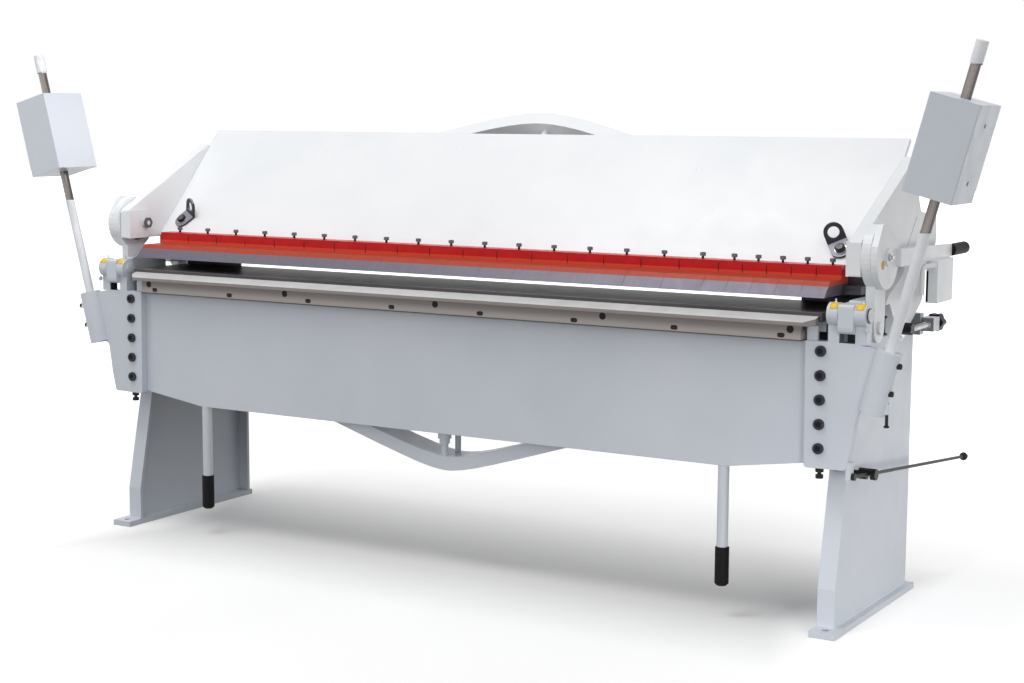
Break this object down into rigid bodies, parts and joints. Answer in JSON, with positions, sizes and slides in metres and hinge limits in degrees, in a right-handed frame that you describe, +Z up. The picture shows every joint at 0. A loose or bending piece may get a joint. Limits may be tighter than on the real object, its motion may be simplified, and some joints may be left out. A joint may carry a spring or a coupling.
{
  "type": "box and pan brake",
  "caption": "Long manual box and pan folding machine: hinged folding apron with counterweights, segmented clamping beam and eccentric clamp levers.",
  "frame": {"origin": "on the floor, in the middle of the footprint that bounds the machine", "axes": "+X along the bend line to the right seen from the folding side, +Y to the rear, +Z up"},
  "size_m": [3.3892, 1.1168, 1.628],
  "materials": {
    "painted_frame": "semi-gloss grey-white paint",
    "painted_beam": "semi-gloss near-white paint",
    "finger_steel": "red paint over a bare ground nose",
    "jaw_steel": "fine ground and oiled",
    "rail_steel": "ground, lightly oiled",
    "rod_steel": "bright drawn, part painted",
    "black_oxide": "black oxide, oiled",
    "black_plastic": "moulded matt black"
  },
  "bodies": {
    "table": {"left_stand": "painted_frame", "right_stand": "painted_frame", "table_beam": "painted_frame", "table_jaw": "jaw_steel", "left_hinge_block": "painted_frame", "right_hinge_block": "painted_frame", "left_fold_pin": "rod_steel", "right_fold_pin": "rod_steel"},
    "apron": {"apron_plate": "painted_frame", "apron_rail": "rail_steel", "left_end_casting": "painted_frame", "right_end_casting": "painted_frame", "left_weight_rod": "rod_steel", "right_weight_rod": "rod_steel", "left_bending_handle": "painted_frame", "right_bending_handle": "painted_frame", "left_handle_grip": "black_plastic", "right_handle_grip": "black_plastic", "apron_tie_bar": "painted_frame"},
    "right_weight": {"right_counterweight": "painted_frame"},
    "left_weight": {"left_counterweight": "painted_frame"},
    "clamp_beam": {"beam_panel": "painted_beam", "beam_tie_bar": "painted_frame", "left_arm": "painted_beam", "right_arm": "painted_beam", "left_lifting_lug": "black_oxide", "right_lifting_lug": "black_oxide", "finger_wide_01": "finger_steel", "finger_wide_02": "finger_steel", "finger_wide_03": "finger_steel", "finger_wide_04": "finger_steel", "finger_wide_05": "finger_steel", "finger_wide_06": "finger_steel", "finger_wide_07": "finger_steel", "finger_wide_08": "finger_steel", "finger_wide_09": "finger_steel", "finger_wide_10": "finger_steel", "finger_wide_11": "finger_steel", "finger_wide_12": "finger_steel", "finger_wide_13": "finger_steel", "finger_wide_14": "finger_steel", "finger_wide_15": "finger_steel", "finger_wide_16": "finger_steel", "finger_wide_17": "finger_steel", "finger_narrow_01": "finger_steel", "finger_narrow_02": "finger_steel", "finger_narrow_03": "finger_steel", "finger_narrow_04": "finger_steel", "finger_narrow_05": "finger_steel"},
    "right_lever": {"right_clamp_lever": "painted_beam", "right_lever_grip": "black_plastic"},
    "left_lever": {"left_clamp_lever": "painted_beam", "left_lever_grip": "black_plastic"},
    "right_link": {"right_closing_link": "painted_beam"},
    "left_link": {"left_closing_link": "painted_beam"},
    "right_knob": {"right_setback_knob": "black_plastic"},
    "left_knob": {"left_setback_knob": "black_plastic"},
    "stop_bar": {"stop_rod": "black_oxide"},
    "stop_pivot": {"stop_swivel": "black_oxide"},
    "stop_ball": {"stop_collar": "black_plastic"}
  },
  "joints": [
    {"name": "apron_fold", "type": "hinge", "parent": "table", "child": "apron", "pos_m": [0, -0.46443, 0.897], "axis": [-1, 0, 0], "range_deg": [0, 135]},
    {"name": "clamp_beam_close", "type": "hinge", "parent": "table", "child": "clamp_beam", "pos_m": [0, -0.07143, 0.822], "axis": [1, 0, 0], "range_deg": [0, 5.5]},
    {"name": "right_lever_turn", "type": "hinge", "parent": "clamp_beam", "child": "right_lever", "pos_m": [1.39, -0.34843, 1.048], "axis": [1, 0, 0], "range_deg": [0, 100]},
    {"name": "right_link_swing", "type": "hinge", "parent": "table", "child": "right_link", "pos_m": [1.358, -0.34843, 0.852], "axis": [1, 0, 0], "range_deg": [0, 6.41]},
    {"name": "right_weight_slide", "type": "slide", "parent": "apron", "child": "right_weight", "axis": [0.2588, 0, 0.9659], "range_m": [-0.09, 0.085]},
    {"name": "right_knob_turn", "type": "hinge", "parent": "table", "child": "right_knob", "pos_m": [1.361, 0.16357, 0.818], "axis": [0, 1, 0], "continuous": true},
    {"name": "left_lever_turn", "type": "hinge", "parent": "clamp_beam", "child": "left_lever", "pos_m": [-1.39, -0.34843, 1.048], "axis": [1, 0, 0], "range_deg": [0, 100]},
    {"name": "left_link_swing", "type": "hinge", "parent": "table", "child": "left_link", "pos_m": [-1.358, -0.34843, 0.852], "axis": [1, 0, 0], "range_deg": [0, 6.41]},
    {"name": "left_weight_slide", "type": "slide", "parent": "apron", "child": "left_weight", "axis": [-0.2588, 0, 0.9659], "range_m": [-0.09, 0.085]},
    {"name": "left_knob_turn", "type": "hinge", "parent": "table", "child": "left_knob", "pos_m": [-1.361, 0.16357, 0.818], "axis": [0, 1, 0], "continuous": true},
    {"name": "stop_bar_swing", "type": "hinge", "parent": "apron", "child": "stop_bar", "pos_m": [1.354, -0.46643, 0.454], "axis": [1, 0, 0], "range_deg": [0, 80.34]},
    {"name": "stop_pivot_turn", "type": "hinge", "parent": "table", "child": "stop_pivot", "pos_m": [1.354, -0.34143, 0.44108], "axis": [-1, 0, 0], "range_deg": [0, 54.68]},
    {"name": "stop_ball_slide", "type": "slide", "parent": "stop_bar", "child": "stop_ball", "axis": [0, 0.9947, -0.1028], "range_m": [-0.07, 0]}
  ],
  "couplings": [
    {"joint": "right_lever_turn", "follows": "clamp_beam_close", "ratio": 18.182},
    {"joint": "right_link_swing", "follows": "clamp_beam_close", "ratio": 1.165},
    {"joint": "left_lever_turn", "follows": "clamp_beam_close", "ratio": 18.182},
    {"joint": "left_link_swing", "follows": "clamp_beam_close", "ratio": 1.165},
    {"joint": "stop_bar_swing", "follows": "apron_fold", "ratio": 0.59504},
    {"joint": "stop_pivot_turn", "follows": "apron_fold", "ratio": 0.40496}
  ]
}
